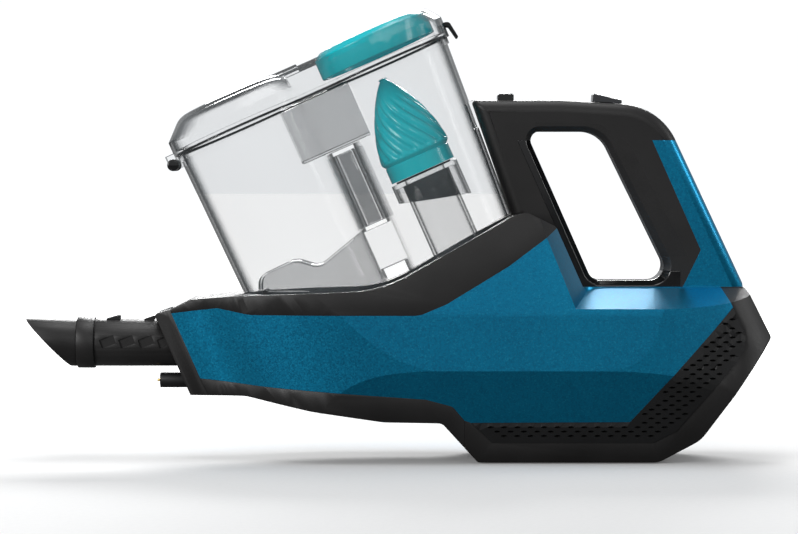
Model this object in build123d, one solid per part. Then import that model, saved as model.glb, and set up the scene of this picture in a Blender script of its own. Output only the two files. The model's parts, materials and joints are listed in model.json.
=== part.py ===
"""Cordless handheld cyclone vacuum, as an assembly of separate moulded and metal pieces.

Millimetres. -X is the nozzle end, +X the grip end, +Z is up. The origin is on the floor under the middle of the
length. The vacuum stands on the flat of its base frame. Many faces follow one lean: the bucket, the front bezel, the
front post of the grip and the motor all stand at LEAN from upright, so they are placed with (u, v), where u runs
along the leaning bucket's floor and v runs up its wall.
"""

from build123d import *
from math import cos, sin, tan, radians
import os

# ---------------------------------------------------------------- driving sizes
LEAN = 24.0                 # lean of bucket, bezel and grip
BODY_WIDTH = 116.0          # widest point of the side shells
WALL = 2.5                  # moulded casing wall
FIT = 0.4                   # gap between pieces that move past each other
CLEAR_WALL = 2.2            # wall of the clear mouldings

BEZEL_DEPTH = 11.0          # front bezel, along u
NECK_LENGTH = 57.5          # bezel face to bucket front wall, along u
FRONT_HALF_WIDTH = 22.0     # half width of the bezel's face

RIM_V = 247.0               # bucket rim
BUCKET_REAR_U = 147.0       # rear wall of the bucket at its rim
WEB_LENGTH = 11.0           # neck between the two chambers
SHELL_STAND_OFF = 9.1       # bucket wall to the outside of the body
CHAMBER_STEP = 9.0          # rear chamber is this much smaller across
FRONT_DRAFT = 1.3           # degrees
REAR_DRAFT = 3.5            # degrees
SEAT_DEPTH = 6.4            # how deep the bucket sits below the cradle rim
LID_HEIGHT = 24.3           # rim to the top of the lid
LID_OVERHANG = 3.0

GRIP_WIDTH = 36.0           # handle loop, side to side
HANDLE_TOP = 243.0          # top of the handle
BASE_HEIGHT = 119.0         # top of the base under the grip
REAR_X = 252.0              # rearmost corner of the base

TUBE_R = 16.0               # outside of the front tool
TUBE_WALL = 2.4
TUBE_Z = 78.7               # tube centre line above the floor
TOOL_LENGTH = 98.1          # bezel to the tip of the nozzle, at the tube's centre line
SPIGOT_R = TUBE_R - 1.7     # part of the tool inside the inlet
SPIGOT_LENGTH = 30.0
PLUG_R = 5.2                # electrical plug under the tube
PLUG_REACH = 18.0
PLUG_Z = 53.2

MOTOR_R = 26.0
MOTOR_LENGTH = 62.0
SHAFT_R = 2.5
BEARING_R = 8.0
FAN_R = MOTOR_R - 4.0
CELL_R = 9.2
CELL_LENGTH = 65.0
CELL_COLUMNS = 3
CELL_ROWS = 2
SCREW_R = 1.5
FOOT_PROUD = 0.8
RUNNING = 0.03              # running clearance of the shaft in its bearings

C, S = cos(radians(LEAN)), sin(radians(LEAN))
HALF = BODY_WIDTH / 2
GRIP_HALF = GRIP_WIDTH / 2
os.makedirs("parts", exist_ok=True)


# ---------------------------------------------------------------- frames and outlines
def leaning(v=0.0):
    """Plane square to the lean, at height v along it: local x is u and local y is Y."""
    return Plane(origin=(-v * S, 0, v * C), x_dir=(C, 0, S), z_dir=(-S, 0, C))


def spot(u, v, y=0.0):
    """Point in the row frame from leaning coordinates."""
    return Vector(u * C - v * S, y, u * S + v * C)


def x_on_u(u, z):
    """X where the leaning plane u crosses height z."""
    return (u - z * S) / C


def face(corners):
    """Closed flat face from (a, b, corner radius) triples."""
    line = FilletPolyline(*[(a, b) for a, b, _ in corners], radius=[r for *_, r in corners], close=True)
    return make_face(line.edges())


def side(corners, half):
    """Prism of a side-view outline, from y = -half to +half."""
    return extrude(Plane.XZ * face(corners), amount=half, both=True)


def side_between(corners, y0, y1):
    """Prism of a side-view outline between two values of y."""
    return Pos(0, y1, 0) * extrude(Plane.XZ * face(corners), amount=y1 - y0)


def column(u, r, v0, v1, y=0.0):
    """Cylinder along the lean."""
    return leaning(v0) * Pos(u, y, (v1 - v0) / 2) * Cylinder(r, v1 - v0)


def tube_x(r, x0, x1, z, y=0.0):
    """Cylinder along X."""
    return Pos((x0 + x1) / 2, y, z) * Rot(0, 90, 0) * Cylinder(r, x1 - x0)


def cross(r, length, x, z, y=0.0):
    """Cylinder along Y."""
    return Pos(x, y, z) * Rot(90, 0, 0) * Cylinder(r, length)


def block(x0, x1, y0, y1, z0, z1):
    return Pos((x0 + x1) / 2, (y0 + y1) / 2, (z0 + z1) / 2) * Box(x1 - x0, y1 - y0, z1 - z0)


def lean_block(u0, u1, y0, y1, v0, v1):
    return leaning() * Pos((u0 + u1) / 2, (y0 + y1) / 2, (v0 + v1) / 2) * Box(u1 - u0, y1 - y0, v1 - v0)


def lean_side(corners, half):
    """Prism of an outline drawn in (u, v)."""
    return leaning() * extrude(Plane.XZ * face(corners), amount=half, both=True)


def save(shape, name):
    """One STEP for each node; only real solids are kept."""
    largest = max(s.volume for s in shape.solids())
    solids = [s for s in shape.solids() if s.volume > largest * 0.01]
    keep = solids[0] if len(solids) == 1 else Compound(children=solids)
    keep.label = name
    export_step(keep, f"parts/{name}.step")
    return keep


# ---------------------------------------------------------------- places that follow from the sizes
FRONT_R = HALF - SHELL_STAND_OFF                    # front chamber at the rim
REAR_R = FRONT_R - CHAMBER_STEP / 2                 # cyclone chamber at the rim
WEB_REAR_U = BUCKET_REAR_U - 2 * REAR_R
WEB_FRONT_U = WEB_REAR_U - WEB_LENGTH
BUCKET_FRONT_U = WEB_FRONT_U - 2 * FRONT_R
BEZEL_U = BUCKET_FRONT_U - NECK_LENGTH
BLUE_U = BEZEL_U + BEZEL_DEPTH
CYCLONE_U = WEB_REAR_U + REAR_R - 6.0               # axis of the vortex finder, filter and motor
RIM_BREAK = (-8.8, 115.9)                           # the cradle rim turns up here
RIM_FRONT_Z = 112.0
RIM_SLOPE = 0.569
RIM_REAR = (78.5, RIM_BREAK[1] + RIM_SLOPE * (78.5 + 8.8))
HOLE_U = 170.6                                      # front edge of the grip hole
TRIM = 8.0
KEEL_Z = 44.5
WEB_HALF = FRONT_R * 0.55


def rim_line(drop):
    """Side-view region under the cradle rim line lowered by drop, closed far below."""
    far_x = RIM_BREAK[0] + 200
    start_x = x_on_u(BEZEL_U, RIM_FRONT_Z) - 60
    rise = (RIM_BREAK[1] - RIM_FRONT_Z) / 100
    return [
        (start_x, RIM_BREAK[1] - rise * (RIM_BREAK[0] - start_x) - drop, 0),
        (RIM_BREAK[0] + drop * 0.3, RIM_BREAK[1] - drop, 80),
        (far_x, RIM_BREAK[1] - drop + RIM_SLOPE * (far_x - RIM_BREAK[0] - drop * 0.3), 0),
        (far_x, -60, 0),
        (start_x, -60, 0),
    ]


# ---------------------------------------------------------------- body envelope
def plan_half_widths(inset):
    """Half width of the lower body against u."""
    shape = [
        (BEZEL_U, FRONT_HALF_WIDTH),
        (BLUE_U, FRONT_HALF_WIDTH + 3.0),
        (BLUE_U + 12.0, FRONT_HALF_WIDTH + 4.8),
        (BUCKET_FRONT_U - 19.0, HALF - 24.5),
        (BUCKET_FRONT_U - 4.0, HALF - 16.0),
        (BUCKET_FRONT_U + 10.0, HALF - 10.8),
        (BUCKET_FRONT_U + 30.0, HALF - 5.5),
        (WEB_FRONT_U, HALF),
        (BUCKET_REAR_U, HALF),
        (BUCKET_REAR_U + 60.0, HALF - 2.0),
        (BUCKET_REAR_U + 100.0, HALF - 12.0),
        (BUCKET_REAR_U + 118.0, HALF - 28.0),
    ]
    return [(u, w - inset) for u, w in shape]


def body_outline():
    """Side view of the lower body with its cradle, clockwise from the top of the bezel."""
    return [
        (x_on_u(BEZEL_U, 99.0), 99.0, 2.0),
        (x_on_u(BEZEL_U, 99.0) + 12.0, 102.5, 0),
        (x_on_u(BEZEL_U, 99.0) + 25.0, 109.0, 4),
        (x_on_u(BEZEL_U, 99.0) + 55.0, RIM_FRONT_Z, 20),
        (*RIM_BREAK, 80),
        (*RIM_REAR, 3),
        (88.0, RIM_REAR[1] + 2.0, 4),
        (x_on_u(HOLE_U - TRIM, 158.0), 158.0, 4),
        (x_on_u(HOLE_U - TRIM, BASE_HEIGHT - 1.7), BASE_HEIGHT - 1.7, 0),
        (REAR_X - 17.2, BASE_HEIGHT - 1.7, 3),
        (REAR_X, 84.0, 3),
        (203.5, 16.0, 22),
        (176.0, FOOT_PROUD, 12),
        (55.0, FOOT_PROUD, 2),
        (31.0, 27.5, 6),
        (-8.0, 28.2, 40),
        (-57.0, 35.5, 60),
        (-100.0, KEEL_Z, 30),
        (x_on_u(BEZEL_U, KEEL_Z), KEEL_Z, 1.0),
    ]


def shoulder(inset):
    """Space cleared beside the grip: the wide body turns in to the narrow handle and falls to a sloping shelf."""
    turn_in = [
        (BUCKET_REAR_U + 4 - inset, HALF + 12, 0),
        (BUCKET_REAR_U + 4 - inset, HALF - 1, 0),
        (HOLE_U - 4 - inset, GRIP_HALF + 3 - inset, 14),
        (320, GRIP_HALF + 3 - inset, 0),
        (320, HALF + 12, 0),
    ]
    shelf = [
        (HALF + 12, 99.0 - inset, 0),
        (GRIP_HALF + 2, BASE_HEIGHT - 1.7 - inset, 0),
        (GRIP_HALF + 2, 260, 0),
        (HALF + 12, 260, 0),
    ]
    turn = leaning(-60) * extrude(face(turn_in), amount=360)
    shelf_x = 60.0
    above = Pos(shelf_x, 0, 0) * extrude(Plane.YZ * face(shelf), amount=260)
    one = turn & above
    return one + mirror(one, Plane.XZ)


def lower_body(inset=0.0):
    """Lower body as one solid, inset all round by a wall."""
    profile = face(body_outline())
    if inset:
        profile = offset(profile, -inset, kind=Kind.INTERSECTION)
    body = extrude(Plane.XZ * profile, amount=HALF + 20, both=True)
    points = plan_half_widths(inset)
    near = [(u, -w) for u, w in points]
    far = [(u, w) for u, w in reversed(points)]
    wires = Spline(*near) + Line(near[-1], far[0]) + Spline(*far) + Line(far[-1], near[0])
    plan = leaning(-160) * extrude(make_face(wires.edges()), amount=460)
    section = [
        (-(HALF - 18) + inset, -1, 0),
        (-(HALF - 10) + inset, 27, 30),
        (-HALF + inset, 63, 0),
        (-(HALF - 1.5) + inset, 100, 60),
        (-(HALF - 8) + inset, 175, 0),
        (HALF - 8 - inset, 175, 0),
        (HALF - 1.5 - inset, 100, 60),
        (HALF - inset, 63, 0),
        (HALF - 10 - inset, 27, 30),
        (HALF - 18 - inset, -1, 0),
    ]
    front = Pos(-320, 0, 0) * extrude(Plane.YZ * face(section), amount=640)
    return (body & plan & front) - shoulder(inset)


def hole_outline(grow=0.0):
    """The grip hole in side view."""
    top, bottom = 221.9 + grow, BASE_HEIGHT + 2.5 - grow
    left = HOLE_U - grow
    right_top = 137.8 + grow * 0.55
    return [
        (x_on_u(left, top), top, 6 + grow),
        (right_top + 0, top, 20 + grow),
        (right_top + (top - bottom) * 0.492 + grow * 0.55, bottom, 10 + grow),
        (x_on_u(left, bottom), bottom, 9 + grow),
    ]


def handle_outline():
    """Outside of the handle loop in side view."""
    return [
        (51.5, HANDLE_TOP, 2),
        (112.0, HANDLE_TOP, 0),
        (178.5, HANDLE_TOP - 4.1, 42),
        (REAR_X - 17.5, 120.0, 0),
        (REAR_X - 17.5, 104.0, 0),
        (100.0, 104.0, 0),
        (84.0, 158.0, 0),
        (78.5, RIM_REAR[1], 0),
    ]


def handle_loop(inset=0.0):
    """Handle loop as one ring with softly rounded long edges."""
    profile = face(handle_outline())
    if inset:
        profile = offset(profile, -inset, kind=Kind.INTERSECTION)
    half = GRIP_HALF - inset
    outer = extrude(Plane.XZ * profile, amount=half, both=True)
    rims = [e for e in outer.edges() if abs(abs(e.center().Y) - half) < 0.01]
    outer = fillet([e for e in rims if e.center().Z > BASE_HEIGHT + 1 - inset and e.center().X > 60], 8.0 - inset)
    hole = extrude(Plane.XZ * face(hole_outline(inset)), amount=half, both=True)
    return outer - hole - chamfer_ring(inset)


def chamfer_ring(inset):
    """Eased edge round the grip hole on both sides."""
    half = GRIP_HALF - inset
    cut = loft([Plane.XZ.offset(half - 5) * face(hole_outline(inset)),
                Plane.XZ.offset(half + 0.01) * face(hole_outline(inset + 3.5))])
    return cut + mirror(cut, Plane.XZ)


# ---------------------------------------------------------------- bucket envelope
def chamber(front, inset, v0, v1):
    """One drafted chamber of the bucket between two heights."""
    def circle(v):
        if front:
            a = BUCKET_FRONT_U + (RIM_V - v) * tan(radians(FRONT_DRAFT))
            b = WEB_FRONT_U
        else:
            a = WEB_REAR_U
            b = BUCKET_REAR_U - (RIM_V - v) * tan(radians(REAR_DRAFT))
        return leaning(v) * Pos((a + b) / 2, 0) * Circle((b - a) / 2 - inset)
    return loft([circle(v0), circle(v1)], ruled=True)


def bucket_envelope(inset, floor_lift, v1=RIM_V, web=True):
    """Both chambers above the cradle floor, with the neck between them."""
    low = 60.0
    shape = chamber(True, inset, low, v1) + chamber(False, inset, low, v1)
    if web:
        shape += lean_block(WEB_FRONT_U - 12, WEB_REAR_U + 12, -WEB_HALF + inset, WEB_HALF - inset, low, v1)
    return shape - side(rim_line(SEAT_DEPTH - floor_lift), HALF + 30)




def under(drop):
    """Everything below the cradle rim line lowered by drop."""
    return side(rim_line(drop), HALF + 40)


def zone(corners):
    """Side-view region through the whole width."""
    return side(corners, HALF + 40)


def lean_ring(r, bore, v0, v1, u=None):
    u = CYCLONE_U if u is None else u
    return column(u, r, v0, v1) - column(u, bore, v0 - 1, v1 + 1)


# ---------------------------------------------------------------- envelopes
HOLLOW = lower_body(WALL)
BODY = lower_body()
PASSAGE = bucket_envelope(-FIT, 0.0, RIM_V + 40)
SHELL = BODY - HOLLOW - PASSAGE
LOOP = handle_loop() - BODY - PASSAGE

# ---------------------------------------------------------------- side-view zones of the casing
blue_top = [
    (x_on_u(BLUE_U, 99.7), 99.7, 0),
    (-119.0, 103.7, 8),
    (-97.0, 99.6, 14),
    (16.0, 99.6, 20),
    (34.0, 107.2, 20),
    (75.3, 132.3, 0),
    (x_on_u(HOLE_U - TRIM, 157.0), 157.0, 0),
]
keel_line = [
    (46.0, 29.5, 0),
    (38.0, 39.0, 6),
    (20.0, 43.8, 10),
    (-90.8, 51.7, 40),
    (x_on_u(BLUE_U, 56.0), 56.0, 0),
]
grille_low = [
    (50.0, 28.0, 0),
    (64.3, 14.3, 2),
    (171.4, 14.3, 12),
    (186.7, 22.1, 10),
    (231.4, 75.1, 6),
    (233.0, 86.0, 4),
    (224.5, 104.6, 0),
]
bezel_zone = lean_block(-400, BLUE_U, -100, 100, -100, 400)
cradle_zone = zone(blue_top + [(x_on_u(HOLE_U - TRIM, 157) + 40, 260, 0), (x_on_u(BLUE_U, 99.7), 260, 0)])
keel_zone = zone(keel_line + [(x_on_u(BLUE_U, -5), -5, 0), (46, -5, 0)])
grille_zone = zone(grille_low + [(156.0, 28.5, 2)])
base_zone = zone([(46, 29.5, 0), *grille_low, (218, 119, 0), (300, 119, 0), (300, -20, 0), (46, -20, 0)])

# ---------------------------------------------------------------- fastening bosses
BOSSES = [(-30.0, 62.0), (8.0, 88.0), (135.0, 45.0), (196.0, 88.0)]
boss_l = Part() + [cross(4.2, HALF, x, z, -HALF / 2) for x, z in BOSSES]
boss_r = Part() + [cross(4.2, HALF, x, z, HALF / 2) for x, z in BOSSES]
pilot = Part() + [cross(SCREW_R, 30, x, z, 0) for x, z in BOSSES]
driver_hole = Part() + [cross(3.4, HALF, x, z, HALF / 2 + 14) for x, z in BOSSES]
screw = Part() + [cross(SCREW_R, 26, x, z, 0) + cross(3.0, 3, x, z, 14.5) for x, z in BOSSES]
save(screw, "shell_screws")

# ---------------------------------------------------------------- tool, front opening and plug
tool_face_x = x_on_u(BEZEL_U, TUBE_Z)
tip_x = tool_face_x - TOOL_LENGTH
collar_x = tool_face_x - 50.6
bore_r = SPIGOT_R + 0.3
duct_r = bore_r + 2.2
duct_end = tool_face_x + NECK_LENGTH + 0.5
bend_r = 24.0
inlet_x = duct_end + bend_r
seat_z = RIM_BREAK[1] - (RIM_BREAK[1] - RIM_FRONT_Z) / 100 * (RIM_BREAK[0] - inlet_x) - SEAT_DEPTH

elbow_axis = Axis((duct_end, 0, TUBE_Z + bend_r), (0, 1, 0))


def duct(r):
    """Straight, quarter bend and riser of the inlet at radius r."""
    straight = tube_x(r, tool_face_x - 12, duct_end, TUBE_Z)
    section = Plane(origin=(duct_end, 0, TUBE_Z), x_dir=(0, 1, 0), z_dir=(1, 0, 0)) * Circle(r)
    bend = revolve(section, elbow_axis, -90)
    riser = Pos(inlet_x, 0, TUBE_Z + bend_r + 8) * Cylinder(r, 16)
    return straight + bend + riser


front_open = lean_block(-400, BEZEL_U, -100, 100, -100, 400)
seat_cut = under(SEAT_DEPTH)
inlet_hole = Pos(inlet_x, 0, seat_z) * Cylinder(bore_r, 40)
inlet_outer = Pos(inlet_x, 0, seat_z) * Cylinder(duct_r, 40)
seal_body = (Pos(inlet_x, 0, seat_z) * Cylinder(duct_r + 3.5, 30)) & under(SEAT_DEPTH - 0.1)
inlet_seal = seal_body - under(SEAT_DEPTH + 1.3) - inlet_hole
inlet_duct = (duct(duct_r) - duct(bore_r) - front_open) & under(SEAT_DEPTH + 1.3)
save(inlet_duct, "inlet_duct")
save(inlet_seal, "inlet_seal")

spigot_end = tool_face_x + SPIGOT_LENGTH
ring_r = TUBE_R + 1.3
gap_face = lean_block(BEZEL_U - FIT, 400, -100, 100, -100, 400)
tube = tube_x(TUBE_R, collar_x, tool_face_x + 12, TUBE_Z) - gap_face
tube += tube_x(SPIGOT_R, tool_face_x - 14, spigot_end, TUBE_Z)
tube -= tube_x(TUBE_R - TUBE_WALL - 1.2, collar_x - 1, spigot_end + 1, TUBE_Z)
BUTTONS = [(collar_x + 12.5, 9.0), (collar_x + 37.0, 7.0)]
grip_slots = Part() + [
    Pos(collar_x + 9.5 + 13.0 * i, y, TUBE_Z + 1.3) * Rot(0, -20, 0) * Box(10, 4, 6)
    for i in range(4) for y in (-TUBE_R - 0.8, TUBE_R + 0.8)
]
button_x, button_len = BUTTONS[0]
button_top = TUBE_Z + TUBE_R + 3.0
recess = block(button_x - button_len / 2 - 0.3, button_x + button_len / 2 + 0.3, -4.3, 4.3, TUBE_Z + TUBE_R - 3.0, button_top + 5)
tube -= grip_slots + recess
tube += tube_x(TUBE_R - 2.0, button_x - 7, button_x + 7, TUBE_Z) - tube_x(TUBE_R - 3.5, button_x - 8, button_x + 8, TUBE_Z)
snap_x = BUTTONS[1][0]
snap = side([(snap_x - 3.5, TUBE_Z + 13, 0), (snap_x - 3.5, TUBE_Z + 16.2, 0), (snap_x + 3.5, TUBE_Z + 18.6, 0.8),
             (snap_x + 3.5, TUBE_Z + 13, 0)], 4.0)
tube += snap - tube_x(TUBE_R - 2.0, collar_x, tool_face_x, TUBE_Z)
save(tube, "tool_tube")
save(tube_x(ring_r, collar_x - 12, collar_x, TUBE_Z) - tube_x(TUBE_R - 3.6, collar_x - 13, collar_x + 1, TUBE_Z),
     "tool_collar")
bevel = side([(tip_x - 5, TUBE_Z + TUBE_R + 3, 0), (tip_x, TUBE_Z + TUBE_R, 0),
              (tip_x + 31, TUBE_Z - TUBE_R, 0), (tip_x + 30, TUBE_Z - TUBE_R - 5, 0), (tip_x - 5, 30, 0)], 40)
nozzle = tube_x(TUBE_R, tip_x, collar_x - 12, TUBE_Z) - tube_x(TUBE_R - TUBE_WALL, tip_x - 1, collar_x, TUBE_Z)
save(nozzle - bevel, "tool_nozzle")
save(side([(button_x - 4.5, button_top - 2.8, 0), (button_x - 4.5, button_top - 2.4, 0.3),
           (button_x + 4.5, button_top, 0.8), (button_x + 4.5, TUBE_Z + TUBE_R - 0.6, 0),
           (button_x - 4.5, TUBE_Z + TUBE_R - 0.6, 0)], 4.0), "tool_button")

plug_face_x = x_on_u(BEZEL_U, PLUG_Z)
plug = tube_x(PLUG_R, plug_face_x - PLUG_REACH, plug_face_x + 14, PLUG_Z)
pin_spots = [(-2.2, PLUG_Z), (2.2, PLUG_Z)]
pins = Part() + [tube_x(0.8, plug_face_x - PLUG_REACH - 2, plug_face_x + 16, z, y) for y, z in pin_spots]
save(plug - pins, "connector_plug")
save(pins, "connector_pins")

# button over the tube: presses down into the bezel's roof
key_x0 = x_on_u(BEZEL_U, 99) + 1.5
key_well = block(key_x0 - 0.4, key_x0 + 11.4, -7.4, 7.4, 92, 120)
key = side([(key_x0, 97.2, 0), (key_x0, 99.8, 0.8), (key_x0 + 11, 104.0, 1.5), (key_x0 + 11, 97.2, 0)], 7.0)
save(key, "tube_release_button")

bezel = (BODY & bezel_zone) - (HOLLOW & bezel_zone) - tube_x(duct_r, -400, 0, TUBE_Z) - plug - key_well
bezel_throat = (duct(duct_r + 2.2) - duct(duct_r)) & bezel_zone & BODY
bezel = bezel + (bezel_throat - key_well)
key_floor = (block(key_x0 - 2, key_x0 + 13, -9, 9, 93.0, 94.6) & BODY & bezel_zone) - tube_x(duct_r, -400, 0, TUBE_Z)
save(bezel + key_floor, "front_bezel")

# ---------------------------------------------------------------- casing pieces
REST = SHELL - bezel_zone - key_well
ring_fill = BODY - under(SEAT_DEPTH + 2.5)
cradle = (REST & cradle_zone) + (ring_fill & cradle_zone) + ((HOLLOW - under(SEAT_DEPTH + 2.5)) & seat_cut)
cradle = cradle - PASSAGE - bezel_zone
cradle = cradle - seal_body - inlet_outer - column(CYCLONE_U, 20.0, 60, 130) - key_well
trim_left = x_on_u(HOLE_U - TRIM, 216)
trim_zone = zone([
    (trim_left, 216, 0), (x_on_u(HOLE_U + 3.5, 216), 216, 0), (x_on_u(HOLE_U + 3.5, 128), 128, 0), (192, 128, 0),
    (192, BASE_HEIGHT - 1.7, 0), (x_on_u(HOLE_U - TRIM, BASE_HEIGHT - 1.7), BASE_HEIGHT - 1.7, 0),
])
save(cradle - boss_l - boss_r, "cradle_frame")

lower = REST - cradle_zone
keel = lower & keel_zone
base = (lower - keel_zone) & base_zone
grille = (lower - keel_zone - base_zone) & grille_zone
blue = lower - keel_zone - base_zone - grille_zone
left_half = block(-400, 400, -200, 0, -100, 400)
right_half = block(-400, 400, 0, 200, -100, 400)
boss_skin = HOLLOW - PASSAGE
save(keel, "keel_cover")

jack_mid = Vector(REAR_X - 8.6 - 1.2, 0, 101.0)
jack_dir = Vector(33.3, 0, 17.2).normalized()
jack_plane = Plane(origin=jack_mid, x_dir=(0, 1, 0), z_dir=jack_dir)
jack_solid = jack_plane * Pos(0, 0, -5) * Cylinder(5.5, 13)
jack_bore = jack_plane * Pos(0, 0, -2) * Cylinder(2.75, 10)
save((jack_solid & BODY) - jack_bore, "charge_socket")

FEET = [(68.0, 22.0), (68.0, -22.0), (152.0, 22.0), (152.0, -22.0)]
feet = Part() + [Pos(x, y, 1.3) * Cylinder(7.0, 2.6) for x, y in FEET]
feet_boss = (Part() + [Pos(x, y, 3.2) * Cylinder(9.0, 4.4) for x, y in FEET]) & BODY
save(feet, "rubber_feet")
save(base + feet_boss - feet - jack_solid, "base_frame")

pitch_x, pitch_z = 9.0, 6.5
holes = []
for row in range(14):
    for col in range(24):
        x = 50 + col * pitch_x + (row % 2) * pitch_x / 2
        z = 18 + row * pitch_z
        holes.append((x, z))
hole_cut = Sketch() + [Pos(x, z) * Rectangle(4.2, 2.2) for x, z in holes]
inner_grille = offset(face([(c[0], c[1], 0) for c in grille_low] + [(156.0, 28.5, 0)]), -2.6, kind=Kind.INTERSECTION)
hole_faces = inner_grille & hole_cut
hole_prism = extrude(Plane.XZ * hole_faces, amount=HALF + 10, both=True)
pierced = grille - hole_prism
save(pierced & left_half, "exhaust_grille_left")
save(pierced & right_half, "exhaust_grille_right")

FILTER_PAD = 3.0
pads = (HOLLOW & grille_zone) - block(-400, 400, -(HALF - 20), HALF - 20, -100, 400)
save(pads & left_half, "exhaust_filter_left")
save(pads & right_half, "exhaust_filter_right")

bosses_l = (boss_l & boss_skin) - pilot - screw
bosses_r = (boss_r & boss_skin) - pilot - driver_hole - screw
save((blue & left_half) + bosses_l, "side_shell_left")
save((blue & right_half) - driver_hole + bosses_r, "side_shell_right")

# ---------------------------------------------------------------- bucket
outer_bucket = bucket_envelope(0, FIT)
inner = (chamber(True, CLEAR_WALL, 60, RIM_V + 1) + chamber(False, CLEAR_WALL, 60, RIM_V + 1)
         - under(SEAT_DEPTH - FIT - CLEAR_WALL))
window = lean_block(WEB_FRONT_U - 20, WEB_REAR_U + 20, -WEB_HALF + 6, WEB_HALF - 6, 207, RIM_V + 1)
duct_window = lean_block(WEB_FRONT_U - 14, WEB_REAR_U + 10, -14, 14, 121, 149)
web_pocket = (lean_block(WEB_FRONT_U - 9, WEB_REAR_U + 9, -WEB_HALF + CLEAR_WALL, WEB_HALF - CLEAR_WALL, 152, 204)
              - chamber(True, 0, 60, RIM_V) - chamber(False, 0, 60, RIM_V))
inlet_low = Pos(inlet_x, 0, seat_z) * Cylinder(bore_r - 0.6, 40)
outlet = column(CYCLONE_U, 15.0, 60, 130)
tongue_top = 201.0
tongue = lean_side([
    (BUCKET_REAR_U - 8, tongue_top - 18, 0), (BUCKET_REAR_U - 2.9, tongue_top - 19, 0),
    (BUCKET_REAR_U + 10.6, tongue_top - 5.2, 1), (BUCKET_REAR_U - 1.3, tongue_top, 0),
    (BUCKET_REAR_U - 8, tongue_top, 0)], 8.0)
tongue -= chamber(False, 1.0, 60, RIM_V)
HINGE_U, HINGE_V = BUCKET_FRONT_U - 5.5, RIM_V - 4.0
PIN_R = 1.5
ear_y = [(-13.0, -7.0), (7.0, 13.0)]
ears = Part()
for y0, y1 in ear_y:
    ears += lean_block(HINGE_U, BUCKET_FRONT_U + 3, y0, y1, HINGE_V - 3.4, HINGE_V + 3.2)
    ears += leaning() * Pos(HINGE_U, (y0 + y1) / 2, HINGE_V) * Rot(90, 0, 0) * Cylinder(3.4, y1 - y0)
ears -= chamber(True, 1.0, 60, RIM_V + 1)
pin_hole = leaning() * Pos(HINGE_U, 0, HINGE_V) * Rot(90, 0, 0) * Cylinder(PIN_R, 40)
rim_bead = column(WEB_FRONT_U - FRONT_R, FRONT_R + 1.2, RIM_V - 4, RIM_V) + column(
    BUCKET_REAR_U - REAR_R, REAR_R + 1.2, RIM_V - 4, RIM_V)
outer_bucket += rim_bead
bucket = outer_bucket - inner - window - duct_window - web_pocket + tongue + ears
bucket -= inlet_low + outlet + pin_hole
save(bucket, "dust_bucket")
save(leaning() * Pos(HINGE_U, 0, HINGE_V) * Rot(90, 0, 0) * Cylinder(PIN_R, 26), "hinge_pin")

# ---------------------------------------------------------------- ramp, flap and baffle
RAMP_HALF = 17.0
floor_cut = under(SEAT_DEPTH - FIT - CLEAR_WALL)


def ramp_outline(inset):
    """Roof of the inlet ramp in side view, with its open underside."""
    return [
        (inlet_x - 21 + inset, 90, 0), (inlet_x - 21 + inset, 124, 8), (inlet_x + 4, 136 - inset, 12),
        (inlet_x + 20, 131 - inset, 10), (x_on_u(WEB_FRONT_U, 158), 158 - inset * 1.2, 0),
        (x_on_u(WEB_FRONT_U, 90) + 6, 90, 0),
    ]


ramp_face = face(ramp_outline(0))
ramp_in = face(ramp_outline(1.8))
ramp = extrude(Plane.XZ * ramp_face, amount=RAMP_HALF, both=True)
ramp_hollow = extrude(Plane.XZ * ramp_in, amount=RAMP_HALF - 1.8, both=True)
ramp_exit = lean_block(WEB_FRONT_U - 12, WEB_FRONT_U + 20, -14, 14, 121, 149)
ramp = (ramp - ramp_hollow - ramp_exit - floor_cut) & (chamber(True, CLEAR_WALL, 60, RIM_V))
flap_x, flap_z = inlet_x - 16.5, seat_z + 6.4
flap_floor = seat_z + FIT + CLEAR_WALL
flap_bore = cross(1.9, 60, flap_x, flap_z)
save(ramp - flap_bore, "inlet_ramp")
flap = cross(1.6, 2 * RAMP_HALF, flap_x, flap_z) + block(flap_x, flap_x + 5, -9, 9, flap_z - 1.6, flap_z)
flap += Pos(inlet_x, 0, flap_z - 0.8) * Cylinder(13.0, 1.6)
save(flap, "inlet_flap")

baffle_u0 = WEB_FRONT_U - 23.0
baffle = lean_block(baffle_u0, WEB_REAR_U + 16, -WEB_HALF + 6.4, WEB_HALF - 6.4, 208, RIM_V - 0.4)
baffle -= lean_block(baffle_u0 - 1, WEB_REAR_U + 17, -WEB_HALF + 8, WEB_HALF - 8, 209.6, RIM_V)
save(baffle, "cyclone_baffle")

# ---------------------------------------------------------------- vortex finder
CONE_V = 171.0
CONE_H = 68.5
CONE_BAND = 11.0
SKIRT_TOP = CONE_V - 1.5


def revolve_lean(points, u=None):
    """Solid of revolution about the lean from (radius, v) corners."""
    u = CYCLONE_U if u is None else u
    outline = face([(r, v, 0) if len(rest) == 0 else (r, v, rest[0]) for r, v, *rest in points])
    return leaning() * Pos(u, 0, 0) * revolve(Plane.XZ * outline, Axis.Z)


def ogive(inset):
    """Half outline of the cone, as radius against height."""
    top = CONE_V + CONE_H - inset
    base = [(23.0 - inset, CONE_V), (23.0 - inset, CONE_V + CONE_BAND)]
    nose = Spline((24.5 - inset, CONE_V + 13.6), (15.3 - inset, CONE_V + 45), (8.0 - inset * 0.6, CONE_V + 58),
                  (0, top))
    lines = Line((0, CONE_V), base[0]) + Line(*base) + Line(base[1], (24.5 - inset, CONE_V + 13.6)) + nose
    lines += Line((0, top), (0, CONE_V))
    return leaning() * Pos(CYCLONE_U, 0, 0) * revolve(Plane.XZ * make_face(lines.edges()), Axis.Z)


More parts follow.
